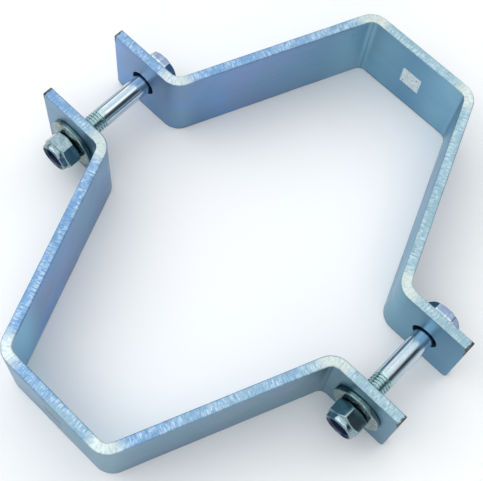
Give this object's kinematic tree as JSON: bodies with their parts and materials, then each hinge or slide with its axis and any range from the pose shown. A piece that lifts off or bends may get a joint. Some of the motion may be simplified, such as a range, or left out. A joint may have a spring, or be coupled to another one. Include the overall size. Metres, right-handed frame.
{
  "type": "ladder stabilizer clamp band",
  "caption": "Split hexagonal clamp band of bent, zinc-plated flat bar, drawn together by hex bolts with conical washers and nylon-insert lock nuts.",
  "frame": {"origin": "on the plane the band lies on, midway between its bolts and its halves", "axes": "+X along the flanges, +Y from the nut side to the bolt-head side, +Z across the bar's width"},
  "size_m": [0.258, 0.286, 0.05],
  "materials": {
    "bar_zinc": "bright zinc plate with a blue passivation over mill-finished bar, fine grain across the edges",
    "bolt_zinc": "bright zinc plate on smooth, cold-formed steel",
    "nut_zinc": "bright zinc plate, lightly worn at the corners",
    "washer_zinc": "bright zinc plate with a faint yellow-green cast",
    "nylon": "dark blue nylon"
  },
  "bodies": {
    "rear_half": {"rear_half": "bar_zinc"},
    "front_half": {"front_half": "bar_zinc"},
    "left_bolt": {"left_bolt": "bolt_zinc", "left_head_washer": "washer_zinc"},
    "left_nut_washer": {"left_nut_washer": "washer_zinc"},
    "left_nut": {"left_nut": "nut_zinc", "left_nut_insert": "nylon"},
    "right_bolt": {"right_bolt": "bolt_zinc", "right_head_washer": "washer_zinc"},
    "right_nut_washer": {"right_nut_washer": "washer_zinc"},
    "right_nut": {"right_nut": "nut_zinc", "right_nut_insert": "nylon"}
  },
  "joints": [
    {"name": "clamp_close", "type": "slide", "parent": "rear_half", "child": "front_half", "axis": [0, 1, 0], "range_m": [0, 0.021]},
    {"name": "left_bolt_spin", "type": "hinge", "parent": "rear_half", "child": "left_bolt", "pos_m": [-0.107, 0.0335, 0.025], "axis": [0, 1, 0], "continuous": true},
    {"name": "left_washer_travel", "type": "slide", "parent": "left_bolt", "child": "left_nut_washer", "axis": [0, 1, 0], "range_m": [0, 0.0211]},
    {"name": "left_nut_spin", "type": "hinge", "parent": "left_nut_washer", "child": "left_nut", "pos_m": [-0.107, -0.0335, 0.025], "axis": [0, 1, 0], "range_deg": [0, 4325]},
    {"name": "right_bolt_spin", "type": "hinge", "parent": "rear_half", "child": "right_bolt", "pos_m": [0.107, 0.0335, 0.025], "axis": [0, 1, 0], "continuous": true},
    {"name": "right_washer_travel", "type": "slide", "parent": "right_bolt", "child": "right_nut_washer", "axis": [0, 1, 0], "range_m": [0, 0.0211]},
    {"name": "right_nut_spin", "type": "hinge", "parent": "right_nut_washer", "child": "right_nut", "pos_m": [0.107, -0.0335, 0.025], "axis": [0, 1, 0], "range_deg": [0, 4325]}
  ],
  "couplings": [
    {"joint": "left_washer_travel", "follows": "clamp_close", "ratio": 1},
    {"joint": "left_nut_spin", "follows": "clamp_close", "rad_per_m": 3590.4},
    {"joint": "right_washer_travel", "follows": "clamp_close", "ratio": 1},
    {"joint": "right_nut_spin", "follows": "clamp_close", "rad_per_m": 3590.4}
  ]
}
